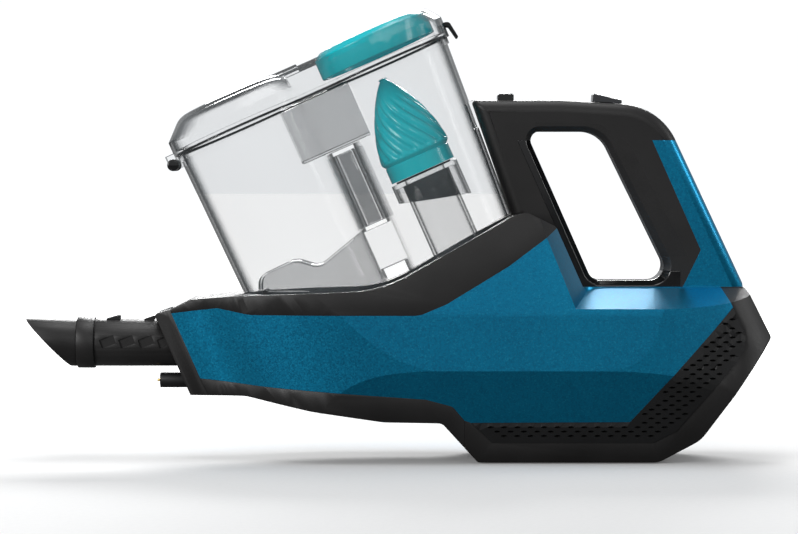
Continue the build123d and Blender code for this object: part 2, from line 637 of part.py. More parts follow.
cone = ogive(0) - (ogive(1.8) & column(CYCLONE_U, 60, CONE_V - 1, CONE_V + CONE_H - 6))
save(cone, "vortex_cone")
save(lean_ring(20.0, 14.5, SKIRT_TOP, CONE_V - 0.3), "cone_gasket")
skirt = lean_ring(24.0, 22.4, SKIRT_TOP - 34, SKIRT_TOP) - lean_side([
    (CYCLONE_U - 40, SKIRT_TOP - 8.2, 0), (CYCLONE_U + 40, SKIRT_TOP - 30.0, 0), (CYCLONE_U + 40, 80, 0),
    (CYCLONE_U - 40, 80, 0)], 40)
skirt += lean_ring(24.0, 14.5, SKIRT_TOP - 3, SKIRT_TOP) + lean_ring(17.0, 15.0, 90, SKIRT_TOP - 1)
save(skirt - floor_cut, "vortex_skirt")

# ---------------------------------------------------------------- lid
SKIRT_V = RIM_V + 0.3
LID_TOP = RIM_V + LID_HEIGHT
FRONT_C = (BUCKET_FRONT_U + WEB_FRONT_U) / 2
REAR_C = (WEB_REAR_U + BUCKET_REAR_U) / 2


def lid_form(inset, v0):
    """Two domed drums and the neck between them."""
    top = LID_TOP - inset
    front = revolve_lean([(0, v0), (FRONT_R + LID_OVERHANG - inset, v0), (FRONT_R + LID_OVERHANG - inset, RIM_V + 11),
                          (FRONT_R - 11 - inset * 0.6, top, 14), (0, top)], FRONT_C)
    rear = revolve_lean([(0, v0), (REAR_R + LID_OVERHANG - inset, v0), (REAR_R + LID_OVERHANG - inset, RIM_V + 14),
                         (REAR_R - 5 - inset * 0.6, top, 6), (0, top)], REAR_C)
    neck = lean_block(WEB_FRONT_U - 10, WEB_REAR_U + 10, -WEB_HALF - LID_OVERHANG + inset, WEB_HALF + LID_OVERHANG - inset,
                      v0, top - 2)
    bridge = lean_block(WEB_FRONT_U - 30, WEB_FRONT_U, -18 + inset, 18 - inset, v0, top)
    return front + rear + neck + bridge


CAP_U = CYCLONE_U + 4.0
CAP_R = REAR_R - 3.2
cap_out = revolve_lean([(0, RIM_V + 7), (CAP_R, RIM_V + 7), (CAP_R, LID_TOP - 3, 2), (CAP_R - 5, LID_TOP + 0.4, 2),
                        (0, LID_TOP + 0.4)], CAP_U)
cap_in = revolve_lean([(0, RIM_V + 6), (CAP_R - 2, RIM_V + 6), (CAP_R - 2, LID_TOP - 4), (CAP_R - 6, LID_TOP - 1.8),
                       (0, LID_TOP - 1.8)], CAP_U)
save(cap_out - cap_in, "lid_cap")
cap_well = column(CAP_U, CAP_R, RIM_V + 7, LID_TOP + 5)
lid = lid_form(0, SKIRT_V) - lid_form(CLEAR_WALL, SKIRT_V - 1) - cap_well
knuckle = leaning() * Pos(HINGE_U, 0, HINGE_V) * Rot(90, 0, 0) * Cylinder(3.2, 13.2)
arm = lean_block(HINGE_U - 3.2, HINGE_U + 3.0, -6.6, 6.6, HINGE_V, SKIRT_V + 3)
arm += lean_block(HINGE_U - 3.2, BUCKET_FRONT_U - 1.4, -6.6, 6.6, SKIRT_V, SKIRT_V + 3)
lid += (knuckle + arm) - leaning() * Pos(HINGE_U, 0, HINGE_V) * Rot(90, 0, 0) * Cylinder(PIN_R + 0.05, 20)


def band(grow, v0, v1):
    """Bucket-shaped slab, grown sideways."""
    shape = column(FRONT_C, FRONT_R + grow, v0, v1) + column(REAR_C, REAR_R + grow, v0, v1)
    return shape + lean_block(WEB_FRONT_U - 10, WEB_REAR_U + 10, -WEB_HALF - grow, WEB_HALF + grow, v0, v1)


flange = band(LID_OVERHANG - 1.0, SKIRT_V + 1.5, SKIRT_V + 3.5) - band(-4.0, SKIRT_V, SKIRT_V + 6)
lid = lid + (flange - cap_well)
save(lid, "lid_frame")
save(band(0.4, SKIRT_V, SKIRT_V + 1.5) - band(-3.0, SKIRT_V - 1, SKIRT_V + 3), "lid_seal")
tab = lean_side([
    (BUCKET_REAR_U + 1.6, RIM_V + 10, 0), (BUCKET_REAR_U + 6.5, RIM_V + 9, 3), (BUCKET_REAR_U + 8.2, RIM_V - 3.5, 1),
    (BUCKET_REAR_U + 6.4, RIM_V - 3.5, 0), (BUCKET_REAR_U + 4.6, RIM_V + 6, 2), (BUCKET_REAR_U + 1.6, RIM_V + 7, 0)], 9.0)
save(tab - lid_form(0, SKIRT_V), "lid_tab")

# ---------------------------------------------------------------- filter, fan and motor
tray = lean_ring(34.0, 32.0, 78, 98) + lean_ring(34.0, 17.0, 96, 98) + lean_ring(34.0, 19.0, 78, 80)
tray += ((HOLLOW & lean_block(40, 145, -100, 100, 78, 80)) - column(CYCLONE_U, 33, 60, 100))
tray += (column(CYCLONE_U, 20.0, 97, 130) & seat_cut) - column(CYCLONE_U, 17.0, 60, 130)
foam = column(CYCLONE_U, 31.9, 81, 94)
save(tray - boss_l - boss_r, "filter_tray")
save(foam, "filter_foam")
CAN_V0 = 12.0
CAN_V1 = CAN_V0 + 50.0
shroud = lean_ring(MOTOR_R, FAN_R + 1.0, CAN_V1, 77.9) + lean_ring(MOTOR_R, 12.0, 76.2, 77.9)
save(shroud, "fan_shroud")
can = lean_ring(MOTOR_R, MOTOR_R - 1.4, CAN_V0, CAN_V1) + lean_ring(MOTOR_R, BEARING_R, CAN_V0, CAN_V0 + 5)
can += lean_ring(MOTOR_R, BEARING_R, CAN_V1 - 5, CAN_V1)
vents = Part()
for i in range(6):
    vents += leaning((CAN_V0 + CAN_V1) / 2) * Pos(CYCLONE_U, 0) * Rot(0, 0, 60 * i + 30) * Pos(17, 0) * Box(8, 6, 80)
save(can - vents, "motor_can")
save(lean_ring(BEARING_R, SHAFT_R + RUNNING, CAN_V0, CAN_V0 + 5), "rear_bearing")
save(lean_ring(BEARING_R, SHAFT_R + RUNNING, CAN_V1 - 5, CAN_V1), "front_bearing")
save(lean_ring(MOTOR_R - 1.4, MOTOR_R - 10.0, CAN_V0 + 12, CAN_V1 - 12), "stator_ring")
save(column(CYCLONE_U, SHAFT_R, CAN_V0 - 2, CAN_V1 + 11), "rotor_shaft")
save(lean_ring(MOTOR_R - 10.5, SHAFT_R, CAN_V0 + 12, CAN_V1 - 12), "rotor_core")
hub = lean_ring(7.0, SHAFT_R, CAN_V1 + 2, CAN_V1 + 11) + lean_ring(FAN_R, SHAFT_R, CAN_V1 + 2, CAN_V1 + 3.2)
for i in range(9):
    hub += (leaning(CAN_V1 + 7) * Pos(CYCLONE_U, 0) * Rot(0, 0, 40 * i) * Pos(13.5, 0) * Rot(0, 0, 35) * Box(16, 1.2, 8)) \
        & column(CYCLONE_U, FAN_R, CAN_V1, CAN_V1 + 12)
save(hub, "impeller")
mount = (HOLLOW & lean_block(40, 127, -100, 100, CAN_V0 + 8, CAN_V0 + 12)) - column(CYCLONE_U, MOTOR_R, -60, 200)
save(mount - boss_l - boss_r, "motor_mount")

# ---------------------------------------------------------------- battery and electronics
CELL_PITCH = 2 * CELL_R + 0.8
CELL_X, CELL_Z = 128.0, 72.5
cells = [(CELL_X + i * CELL_PITCH, CELL_Z + j * CELL_PITCH) for i in range(CELL_COLUMNS) for j in range(CELL_ROWS)]
pack = Part() + [cross(CELL_R, CELL_LENGTH, x, z) for x, z in cells]
case_x0, case_x1 = CELL_X - CELL_R - 2.4, CELL_X + (CELL_COLUMNS - 1) * CELL_PITCH + CELL_R + 2.4
case_z0, case_z1 = CELL_Z - CELL_R - 2.4, CELL_Z + (CELL_ROWS - 1) * CELL_PITCH + CELL_R + 2.4
case_y = CELL_LENGTH / 2 + 2.0
case = block(case_x0, case_x1, -case_y, case_y, case_z0, case_z1)
case += HOLLOW & block(case_x0 - 2, case_x1 + 2, -100, 100, case_z0 - 2.0, case_z0)
save(case - (Part() + [cross(CELL_R + 0.05, CELL_LENGTH, x, z) for x, z in cells]) - boss_l - boss_r, "battery_case")
save(pack, "battery_cells")
save(block(case_x0 + 2, case_x1 - 6, -18, 18, case_z1, case_z1 + 1.6), "control_board")

# ---------------------------------------------------------------- handle
SLIDE_TILT = 3.53
SLIDE_X = 133.0
SLIDE_LEN = 20.0
SLIDE_TRAVEL = 7.0
notch = lean_side([
    (BUCKET_REAR_U - 12, tongue_top - 22, 0), (BUCKET_REAR_U - 2.9 + 1, tongue_top - 19.8, 0),
    (BUCKET_REAR_U + 11.1, tongue_top - 6.2, 0), (BUCKET_REAR_U + 11.1, tongue_top + 40, 0),
    (BUCKET_REAR_U - 12, tongue_top + 40, 0)], 8.5)
notch_wall = lean_side([
    (BUCKET_REAR_U - 14, tongue_top - 26, 0), (BUCKET_REAR_U - 2.0, tongue_top - 23.0, 0),
    (BUCKET_REAR_U + 13.0, tongue_top - 8, 0), (BUCKET_REAR_U + 13.0, tongue_top + 42, 0),
    (BUCKET_REAR_U - 14, tongue_top + 42, 0)], 10.5)
BUTTON_X = (69.0, 80.0)
button_well = block(BUTTON_X[0] - FIT, BUTTON_X[1] + FIT, -8 - FIT, 8 + FIT, HANDLE_TOP - 6, HANDLE_TOP + 10)
slide_plane = Plane(origin=(112.0, 0, HANDLE_TOP), x_dir=(cos(radians(SLIDE_TILT)), 0, -sin(radians(SLIDE_TILT))),
                    z_dir=(sin(radians(SLIDE_TILT)), 0, cos(radians(SLIDE_TILT))))
slide_at = SLIDE_X - 112.0
slide_slot = slide_plane * Pos(slide_at + SLIDE_LEN / 2 - SLIDE_TRAVEL / 2, 0, 0) * Box(8 + SLIDE_TRAVEL + 0.8, 6.8, 12)
loop_hollow = handle_loop(WALL) - notch_wall
loop_shell = LOOP - loop_hollow - notch - button_well - slide_slot - trim_zone
grip_zone = zone([(94, 228, 0), (137.4, 227, 8), (157.5, 213.4, 12), (197.2, 137.8, 0), (172, 137.8, 0),
                  (120, 214, 0), (94, 214, 0)])
spine_zone = zone([(x_on_u(245.7, 216), 216, 0), (300, 216, 0), (300, 110, 0), (190, 110, 0), (197, 124, 6),
                   (x_on_u(245.7, 142), 142, 0)])
save(LOOP & trim_zone, "hole_trim")
save(loop_shell & grip_zone, "grip_insert")
save((loop_shell - grip_zone) & spine_zone, "handle_spine")
black_loop = loop_shell - grip_zone - spine_zone
save(black_loop & left_half, "handle_left")
save(black_loop & right_half, "handle_right")

cap = side([(BUTTON_X[0], HANDLE_TOP - 4, 0), (BUTTON_X[0], HANDLE_TOP + 4.4, 2), (BUTTON_X[1], HANDLE_TOP + 4.6, 1.5),
            (BUTTON_X[1], HANDLE_TOP - 4, 0)], 8.0)
mid_x = sum(BUTTON_X) / 2
release = cap + Pos(mid_x, 0, HANDLE_TOP - 6.6) * Cylinder(1.8, 5.2)
save(release, "release_button")
spring_pitch, spring_r = 2.2, 3.2
coil_path = Helix(spring_pitch, 3 * spring_pitch, spring_r)
coil_start = coil_path @ 0
coil = sweep(Plane(origin=coil_start, z_dir=coil_path % 0) * Circle(0.45), path=coil_path)
save(Pos(mid_x, 0, HANDLE_TOP - 11.3) * coil, "release_spring")
latch_y = GRIP_HALF - WALL
latch = block(BUTTON_X[0] - 2, BUTTON_X[1] + 4, -latch_y, latch_y, HANDLE_TOP - 16.0, HANDLE_TOP - 12.0)
save(latch & loop_hollow, "bucket_latch")

slider = slide_plane * Pos(slide_at, 0, 0.3) * side([
    (0, 0, 0), (0, 6.0, 1.5), (SLIDE_LEN, 2.4, 1), (SLIDE_LEN, 0, 0)], 8.0)
slider += slide_plane * Pos(slide_at + SLIDE_LEN / 2, 0, -1.5) * Box(8, 6, 4.6)
slider += slide_plane * Pos(slide_at + SLIDE_LEN / 2, 0, -3.9) * Box(10, 10, 1.6)
save(slider, "power_slider")
switch = block(120, 152, -latch_y, latch_y, 226.5, 233.5) & loop_hollow
save(switch, "switch_module")
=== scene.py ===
import json
import math

import bmesh
import bpy
from bpy.props import FloatProperty, FloatVectorProperty, IntProperty, PointerProperty
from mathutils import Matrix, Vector
from mathutils.bvhtree import BVHTree
from mathutils.geometry import delaunay_2d_cdt
from mathutils.kdtree import KDTree


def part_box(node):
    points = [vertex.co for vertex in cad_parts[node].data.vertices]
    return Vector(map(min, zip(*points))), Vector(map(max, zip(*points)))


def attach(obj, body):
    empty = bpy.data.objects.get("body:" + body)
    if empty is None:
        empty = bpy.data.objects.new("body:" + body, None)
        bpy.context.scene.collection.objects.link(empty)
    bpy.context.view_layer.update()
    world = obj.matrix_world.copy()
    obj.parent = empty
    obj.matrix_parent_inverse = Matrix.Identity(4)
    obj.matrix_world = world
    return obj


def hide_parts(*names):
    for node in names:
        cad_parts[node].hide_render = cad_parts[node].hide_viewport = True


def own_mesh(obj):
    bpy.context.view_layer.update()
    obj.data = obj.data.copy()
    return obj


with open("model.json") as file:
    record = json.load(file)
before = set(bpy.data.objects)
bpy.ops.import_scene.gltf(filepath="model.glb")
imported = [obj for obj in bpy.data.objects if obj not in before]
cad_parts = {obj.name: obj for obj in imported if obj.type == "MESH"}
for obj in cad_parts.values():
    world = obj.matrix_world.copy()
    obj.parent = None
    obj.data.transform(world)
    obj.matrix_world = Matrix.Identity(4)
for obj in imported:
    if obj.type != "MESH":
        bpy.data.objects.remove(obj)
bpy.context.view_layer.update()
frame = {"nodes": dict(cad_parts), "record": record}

bl_info = {
    "name": "Cyclone hand vacuum",
    "version": (1, 1, 0),
    "blender": (4, 5, 0),
    "location": "View3D > Sidebar > Vacuum",
    "description": "Builds the looks of a handheld cyclone vacuum round its packed frame",
    "category": "Object",
}

MM = 0.001
LEAN = math.radians(24.0)
C, S = math.cos(LEAN), math.sin(LEAN)
SAME_SPOT = 0.00001     # vertices closer than this are merged


# ------------------------------------------------------------------ places
def place(u, v, y=0.0):
    """Point in metres from leaning millimetres: u along the bucket's floor, v up its wall."""
    return Vector((u * C - v * S, y, u * S + v * C)) * MM


def lean_box(node):
    """Lowest and highest u and v of a CAD node, in millimetres."""
    spots = [v.co / MM for v in frame["nodes"][node].data.vertices]
    us = [p.x * C + p.z * S for p in spots]
    vs = [p.z * C - p.x * S for p in spots]
    return (min(us), max(us)), (min(vs), max(vs))


# ------------------------------------------------------------------ colours and sizes a user may change
def linear(code, alpha=1.0):
    """sRGB hex to a linear colour."""
    parts = [int(code[i:i + 2], 16) / 255 for i in (1, 3, 5)]
    return (*[p / 12.92 if p <= 0.04045 else ((p + 0.055) / 1.055) ** 2.4 for p in parts], alpha)


def colour(title, about, code):
    """A colour property with an sRGB hex default."""
    return FloatVectorProperty(name=title, description=about, subtype="COLOR", size=4, min=0.0, max=1.0,
                               default=linear(code))


class VacuumFinishes(bpy.types.PropertyGroup):
    """Colours of the vacuum's mouldings."""
    lacquer: colour("Lacquer", "Body colour of the metallic lacquer", "#0492bf")
    lacquer_deep: colour("Lacquer shade", "Colour between the flakes", "#0478a4")
    lacquer_flake: colour("Lacquer flake", "Colour of the brightest flakes", "#1fa6cc")
    casing: colour("Casing", "Black textured casing", "#1d1c1c")
    casing_light: colour("Casing, lighter", "Lighter patches of the casing", "#252424")
    teal: colour("Teal", "Translucent teal of the cone and the lid's cap", "#00c2cc")
    teal_deep: colour("Teal, deep", "Teal where the wall is seen edge on", "#01646e")
    clear_edge: colour("Clear wall edge", "Grey of the clear walls seen along their thickness", "#2f3437")


class VacuumSizes(bpy.types.PropertyGroup):
    """Sizes of the details added round the frame."""
    edge_radius: FloatProperty(name="Edge radius", description="Rounding of every moulded edge", default=0.5 * MM,
                               unit="LENGTH")
    groove_count: IntProperty(name="Cone grooves", description="Helical grooves round the vortex cone", default=14,
                              min=4, max=24)
    groove_depth: FloatProperty(name="Groove depth", description="Depth of the cone's grooves", default=2.2 * MM,
                                unit="LENGTH")
    groove_turn: FloatProperty(name="Groove turn", description="How far a groove turns round the cone",
                               default=math.radians(82.0), subtype="ANGLE")
    hole_length: FloatProperty(name="Grille hole length", description="Length of one lens-shaped hole",
                               default=4.4 * MM, unit="LENGTH")
    hole_height: FloatProperty(name="Grille hole height", description="Height of one lens-shaped hole",
                               default=1.6 * MM, unit="LENGTH")
    hole_pitch: FloatProperty(name="Grille hole pitch", description="Spacing of the holes along a row",
                              default=8.9 * MM, unit="LENGTH")
    row_pitch: FloatProperty(name="Grille row pitch", description="Spacing of the rows of holes", default=3.0 * MM,
                             unit="LENGTH")


class VacuumStage(bpy.types.PropertyGroup):
    """Camera and lights."""
    distance: FloatProperty(name="Camera distance", description="From the camera to the vacuum", default=2.0,
                            unit="LENGTH")
    rise: FloatProperty(name="Camera rise", description="How far the camera looks down", default=math.radians(2.0),
                        subtype="ANGLE")
    frame_width: FloatProperty(name="Frame width", description="Width seen at the vacuum", default=0.5426,
                               unit="LENGTH")
    key_power: FloatProperty(name="Key power", description="Power of the large softbox overhead", default=20.0,
                             subtype="POWER")


# ------------------------------------------------------------------ materials
def add(tree, kind, settings=(), **inputs):
    """Adds one node, with its settings and its inputs, each a value or an output socket."""
    made = tree.nodes.new("ShaderNode" + kind)
    for name, value in dict(settings).items():
        setattr(made, name, value)
    for name, value in inputs.items():
        numbered = name[0] == "i" and name[1:].isdigit()
        socket = made.inputs[int(name[1:])] if numbered else made.inputs[name.replace("_", " ")]
        if isinstance(value, bpy.types.NodeSocket):
            tree.links.new(value, socket)
        else:
            socket.default_value = value
    return made


def ramp(tree, fac, stops):
    """Colour ramp over fac, from (position, colour) stops."""
    made = add(tree, "ValToRGB", Fac=fac)
    marks = made.color_ramp.elements
    while len(marks) < len(stops):
        marks.new(0.5)
    for mark, (at, shade) in zip(marks, stops):
        mark.position = at
        mark.color = shade
    return made.outputs["Color"]


def start(name):
    """Node tree with a Principled surface, and the coordinates its patterns use."""
    material = bpy.data.materials.new(name)
    material.use_nodes = True
    tree = material.node_tree
    tree.nodes.clear()
    surface = add(tree, "BsdfPrincipled")
    out = add(tree, "OutputMaterial")
    tree.links.new(surface.outputs[0], out.inputs[0])
    return material, tree, surface, add(tree, "TexCoord").outputs["Object"]


def whole(surface, **values):
    """Sets numbers that hold all over the surface on the shader itself."""
    for name, value in values.items():
        surface.inputs[name.replace("_", " ")].default_value = value


def grain(tree, coord, size_mm, detail=2.0):
    """Noise whose lumps are about size_mm across."""
    return add(tree, "TexNoise", Vector=coord, Scale=1000.0 / size_mm, Detail=detail).outputs["Fac"]


def spread_rough(tree, surface, pattern, low, high, at=(0.3, 0.7)):
    """Roughness that follows a pattern."""
    spread = add(tree, "MapRange", i0=pattern, i1=at[0], i2=at[1], i3=low, i4=high).outputs[0]
    tree.links.new(spread, surface.inputs["Roughness"])


def relief(tree, surface, height, depth_mm, strength=1.0):
    """Bump of a real depth."""
    bump = add(tree, "Bump", Strength=strength, Distance=depth_mm * MM, Height=height)
    tree.links.new(bump.outputs[0], surface.inputs["Normal"])


def paint_on(tree, surface, fac, stops):
    """Base colour from a ramp over a pattern."""
    tree.links.new(ramp(tree, fac, stops), surface.inputs["Base Color"])


def moulded_abs(name, dark, light, rough=(0.40, 0.52), texture_mm=0.9):
    """Injection-moulded ABS from a spark-eroded tool: an even, fine orange-peel that breaks the shine."""
    material, tree, surface, coord = start(name)
    fine = grain(tree, coord, texture_mm, 3.0)
    paint_on(tree, surface, grain(tree, coord, 35.0), [(0.3, dark), (0.7, light)])
    spread_rough(tree, surface, fine, *rough)
    relief(tree, surface, fine, 0.03, 0.5)
    whole(surface, IOR=1.53, Specular_IOR_Level=0.38)
    return material


def metallic_lacquer(name, tints):
    """Metallic blue lacquer over ABS: aluminium flakes under a clear coat, so it glints in grains.
    Real flakes are finer than a tenth of a millimetre, and are drawn 0.8 mm so that they show."""
    material, tree, surface, coord = start(name)
    cells = add(tree, "TexVoronoi", {"feature": "F1"}, Vector=coord, Scale=1000.0 / 0.8)
    flake = add(tree, "SeparateColor", Color=cells.outputs["Color"]).outputs[0]
    glint = ramp(tree, flake, [(0.0, tints.lacquer_deep), (0.5, tints.lacquer), (0.86, tints.lacquer),
                               (1.0, tints.lacquer_flake)])
    cloud = ramp(tree, grain(tree, coord, 70.0), [(0.25, tints.lacquer_deep), (0.8, tints.lacquer)])
    mixed = add(tree, "Mix", {"data_type": "RGBA"}, i0=0.5, i6=cloud, i7=glint)
    tree.links.new(mixed.outputs[2], surface.inputs["Base Color"])
    spread_rough(tree, surface, flake, 0.30, 0.40, (0.0, 1.0))
    relief(tree, surface, flake, 0.012, 0.22)
    whole(surface, Metallic=0.85, IOR=1.5, Coat_Weight=0.3, Coat_Roughness=0.2, Coat_IOR=1.45)
    return material


def clear_polycarbonate(name, tints, face_alpha, edge_alpha, tint, rough=0.05):
    """Clear moulded polycarbonate: see-through face on, and dark grey where the wall is seen edge on."""
    material, tree, surface, coord = start(name)
    facing = add(tree, "LayerWeight", Blend=0.5).outputs["Facing"]
    wave = grain(tree, coord, 24.0, 1.0)
    paint_on(tree, surface, facing, [(0.0, tint), (0.55, linear("#5d6468")), (0.9, tints.clear_edge)])
    cover = add(tree, "MapRange", {"interpolation_type": "SMOOTHERSTEP"}, i0=facing, i1=0.40, i2=0.97,
                i3=face_alpha, i4=edge_alpha).outputs[0]
    tree.links.new(cover, surface.inputs["Alpha"])
    spread_rough(tree, surface, wave, rough, rough + 0.05)
    relief(tree, surface, wave, 0.15, 0.3)
    whole(surface, IOR=1.58, Coat_Weight=1.0, Coat_Roughness=0.03)
    return material


def tinted_polycarbonate(name, tints):
    """Teal translucent polycarbonate: light goes into it a little (subsurface), it is bright teal face on and
    darkens where the wall is seen edge on, and a faint teal emission paints a glow all over it, though no lamp is
    inside.
    """
    material, tree, surface, coord = start(name)
    facing = add(tree, "LayerWeight", Blend=0.4).outputs["Facing"]
    paint_on(tree, surface, facing, [(0.0, tints.teal), (0.6, linear("#02a2ac")), (1.0, tints.teal_deep)])
    fine = grain(tree, coord, 1.2)
    spread_rough(tree, surface, fine, 0.18, 0.28)
    relief(tree, surface, fine, 0.01, 0.3)
    whole(surface, IOR=1.5, Specular_IOR_Level=0.35, Coat_Weight=0.25, Coat_Roughness=0.05, Subsurface_Weight=0.2,
          Subsurface_Scale=0.004)
    surface.inputs["Subsurface Radius"].default_value = (0.2, 0.9, 1.0)
    # Painted glow: a faint teal emission, so the teal parts glow though no lamp is inside them.
    surface.inputs["Emission Color"].default_value = linear("#00a6b0")
    whole(surface, Emission_Strength=0.16)
    return material


def polished_trim(name, code, rough=0.12):
    """High-gloss ABS from a polished tool: almost a mirror, with the faint swirl left by wiping."""
    material, tree, surface, coord = start(name)
    wipe = add(tree, "TexNoise", Vector=coord, Scale=1000.0 / 9.0, Detail=4.0, Distortion=1.2).outputs["Fac"]
    base = linear(code)
    paint_on(tree, surface, wipe, [(0.3, base), (0.75, tuple(min(1.0, c * 1.25) for c in base))])
    spread_rough(tree, surface, wipe, rough, rough + 0.1, (0.35, 0.7))
    relief(tree, surface, wipe, 0.03, 0.15)
    whole(surface, IOR=1.53, Coat_Weight=0.8, Coat_Roughness=0.05)
    return material


def soft_elastomer(name, code, texture_mm=1.1):
    """Overmoulded thermoplastic elastomer: a dense matt skin with fine pores and a dusty sheen."""
    material, tree, surface, coord = start(name)
    cells = add(tree, "TexVoronoi", {"feature": "SMOOTH_F1"}, Vector=coord, Scale=1000.0 / texture_mm)
    pores = cells.outputs["Distance"]
    base = linear(code)
    paint_on(tree, surface, grain(tree, coord, 18.0), [(0.3, base), (0.8, tuple(min(1.0, c * 1.5) for c in base))])
    spread_rough(tree, surface, pores, 0.58, 0.75, (0.0, 0.8))
    relief(tree, surface, pores, 0.05, 0.5)
    whole(surface, IOR=1.5, Specular_IOR_Level=0.4, Sheen_Weight=0.08, Sheen_Roughness=0.5)
    return material


def machined_steel(name):
    """Turned and pressed steel: fine rings of tool marks, 1.2 mm apart so that they show."""
    material, tree, surface, coord = start(name)
    rings = add(tree, "TexWave", {"bands_direction": "Y"}, Vector=coord, Scale=260.0, Distortion=1.5).outputs["Fac"]
    paint_on(tree, surface, grain(tree, coord, 0.8, 3.0), [(0.2, linear("#8d9093")), (0.8, linear("#b5b8ba"))])
    spread_rough(tree, surface, rings, 0.25, 0.38, (0.0, 1.0))
    relief(tree, surface, rings, 0.01, 0.3)
    whole(surface, Metallic=1.0)
    return material


def plated_brass(name):
    """Gold-flashed brass contacts, drawn and slightly dulled."""
    material, tree, surface, coord = start(name)
    fine = grain(tree, coord, 0.7, 3.0)
    paint_on(tree, surface, fine, [(0.2, linear("#c9a55a")), (0.8, linear("#e3c987"))])
    spread_rough(tree, surface, fine, 0.2, 0.35)
    relief(tree, surface, fine, 0.01, 0.2)
    whole(surface, Metallic=1.0)
    return material


def open_foam(name):
    """Open-cell polyurethane filter foam: pores about a millimetre across."""
    material, tree, surface, coord = start(name)
    pores = add(tree, "TexVoronoi", Vector=coord, Scale=1000.0 / 1.4).outputs["Distance"]
    paint_on(tree, surface, pores, [(0.1, linear("#0d0d0e")), (0.6, linear("#2b2a29"))])
    relief(tree, surface, pores, 0.5, 1.0)
    whole(surface, Roughness=0.95)
    return material


def printed_board(name):
    """Glass-epoxy circuit board under green solder mask: tracks show through, 1.1 mm apart."""
    material, tree, surface, coord = start(name)
    tracks = add(tree, "TexBrick", Vector=coord, Scale=220.0).outputs["Fac"]
    paint_on(tree, surface, tracks, [(0.2, linear("#0d4a2a")), (0.8, linear("#1d6b40"))])
    relief(tree, surface, tracks, 0.04, 0.5)
    whole(surface, Roughness=0.3, IOR=1.55)
    return material


def studio_paper(name):
    """White paper floor with painted shade and a painted glow. Every ray but a camera ray finds it dark grey, a
    painted shade that gives the vacuum's reflections a dimmer floor than the one on view. Camera rays also get a
    painted glow, faint near the vacuum and strong far from it.
    """
    material, tree, surface, coord = start(name)
    fibre = grain(tree, coord, 4.0, 3.0)
    white = ramp(tree, fibre, [(0.2, linear("#dadada")), (0.8, linear("#dedede"))])
    # Painted shade: rays other than camera rays see the floor dark grey instead of white.
    seen = add(tree, "LightPath").outputs["Is Camera Ray"]
    shade = add(tree, "Mix", {"data_type": "RGBA"}, i0=seen, i6=linear("#5c5c5c"), i7=white).outputs[2]
    tree.links.new(shade, surface.inputs["Base Color"])
    whole(surface, Roughness=0.9, Specular_IOR_Level=0.1)
    surface.inputs["Emission Color"].default_value = (1.0, 1.0, 1.0, 1.0)
    # Painted glow: camera rays only, rising with distance from the floor's middle, so the far floor turns white
    # while it stays faint near the vacuum.
    away = add(tree, "VectorMath", {"operation": "LENGTH"}, i0=coord).outputs["Value"]
    painted_glow_rise = add(tree, "MapRange", {"interpolation_type": "SMOOTHSTEP"}, i0=away, i1=0.35, i2=1.6, i3=0.06,
               i4=0.9).outputs[0]
    painted_glow = add(tree, "Math", {"operation": "MULTIPLY"}, i0=seen, i1=painted_glow_rise).outputs[0]
    tree.links.new(painted_glow, surface.inputs["Emission Strength"])
    return material


FINISH = {}


def mix_finishes(tints):
    """Makes every material once."""
    FINISH.update({
        "blue": metallic_lacquer("metallic_blue_lacquer", tints),
        "black": moulded_abs("moulded_abs_black", tints.casing, tints.casing_light),
        "dark_grey": moulded_abs("moulded_abs_graphite", linear("#121213"), linear("#19191a"), (0.48, 0.6)),
        "gloss_black": polished_trim("polished_abs_black", "#0d0d0e"),
        "soft_grip": soft_elastomer("overmoulded_grip_elastomer", "#1b1a1a"),
        "seal": soft_elastomer("moulded_seal_rubber", "#121212", 0.8),
        "foam": open_foam("open_cell_foam"),
        "contact": plated_brass("plated_brass"),
        "steel": machined_steel("machined_steel"),
        "cell": polished_trim("cell_wrap_vinyl", "#4b6f86", 0.3),
        "board": printed_board("printed_circuit_board"),
        "chrome_trim": polished_trim("polished_smoke_trim", "#2c2d30", 0.1),
        "pale_grey": moulded_abs("moulded_abs_pale_grey", linear("#8f9091"), linear("#9c9d9e")),
        "clear": clear_polycarbonate("clear_polycarbonate", tints, 0.085, 0.95, linear("#868e92")),
        "clear_grey": clear_polycarbonate("smoked_polycarbonate", tints, 0.17, 0.95, linear("#6a7175")),
        "smoke": clear_polycarbonate("smoked_web_polycarbonate", tints, 0.34, 0.95, linear("#5a6165")),
        "teal": tinted_polycarbonate("teal_translucent_polycarbonate", tints),
        "paper": studio_paper("studio_paper"),
    })


def slot_of(node):
    """The record's material slot of a CAD node."""
    return next(p["material_slot"] for p in frame["record"]["subparts"] if p["node"] == node)


def coat(thing, finish):
    """Gives an object one material in all its slots."""
    if not thing.data.materials:
        thing.data.materials.append(FINISH[finish])
    for index in range(len(thing.data.materials)):
        thing.data.materials[index] = FINISH[finish]


# ------------------------------------------------------------------ modelling helpers
def begin_edit(thing, kind="VERT", chosen="DESELECT"):
    """Edit mode on one object, with nothing selected unless chosen says SELECT."""
    bpy.ops.object.select_all(action="DESELECT")
    bpy.context.view_layer.objects.active = thing
    thing.select_set(True)
    bpy.ops.object.mode_set(mode="EDIT")
    bpy.ops.mesh.select_mode(type=kind)
    bpy.ops.mesh.select_all(action=chosen)


def pick(thing, kind, test):
    """Selects the faces, edges or vertices whose middle passes a test, in millimetres."""
    work = bmesh.from_edit_mesh(thing.data)
    for item in getattr(work, kind):
        if kind == "verts":
            middle = item.co
        elif kind == "edges":
            middle = (item.verts[0].co + item.verts[1].co) / 2
        else:
            middle = item.calc_center_median()
        item.select_set(bool(test(middle / MM)))
    work.select_flush_mode()
    bmesh.update_edit_mesh(thing.data)


def end_edit():
    bpy.ops.object.mode_set(mode="OBJECT")


